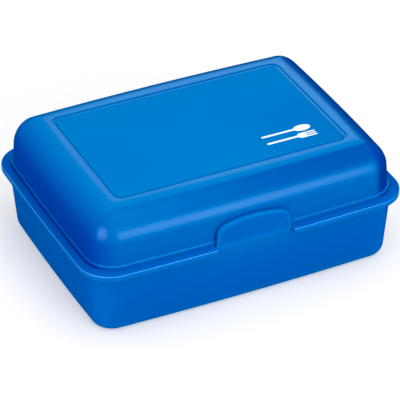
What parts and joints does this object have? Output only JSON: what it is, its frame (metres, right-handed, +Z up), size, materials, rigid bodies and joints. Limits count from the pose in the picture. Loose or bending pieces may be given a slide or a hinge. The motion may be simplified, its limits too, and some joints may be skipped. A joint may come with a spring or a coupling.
{
  "type": "lunch box",
  "caption": "Lunch box: deep tapered tray with a skirted rim, domed lid hinged at the back on snap clips, and a front latch flap on a film hinge.",
  "frame": {"origin": "middle of the box's footprint, on the surface it stands on", "axes": "+Z up, X along the long side, the latch flap faces -Y and the lid's hinge is at +Y"},
  "size_m": [0.18, 0.1329, 0.0669],
  "materials": {
    "tray_plastic": "satin moulded polypropylene, slightly translucent",
    "lid_plastic": "satin moulded polypropylene, slightly translucent"
  },
  "bodies": {
    "tray": {"tray": "tray_plastic", "hinge_bar_left": "tray_plastic", "hinge_bar_right": "tray_plastic", "latch_film": "tray_plastic"},
    "flap": {"latch_flap": "tray_plastic", "latch_bead": "tray_plastic"},
    "lid": {"lid": "lid_plastic", "hinge_clip_left": "lid_plastic", "hinge_clip_right": "lid_plastic"}
  },
  "joints": [
    {"name": "lid_hinge", "type": "hinge", "parent": "tray", "child": "lid", "pos_m": [0, 0.0642, 0.0383], "axis": [-1, 0, 0], "range_deg": [0, 170]},
    {"name": "latch_hinge", "type": "hinge", "parent": "tray", "child": "flap", "pos_m": [0, -0.06285, 0.0374], "axis": [1, 0, 0], "range_deg": [0, 110], "deforming": ["latch_film"]}
  ]
}
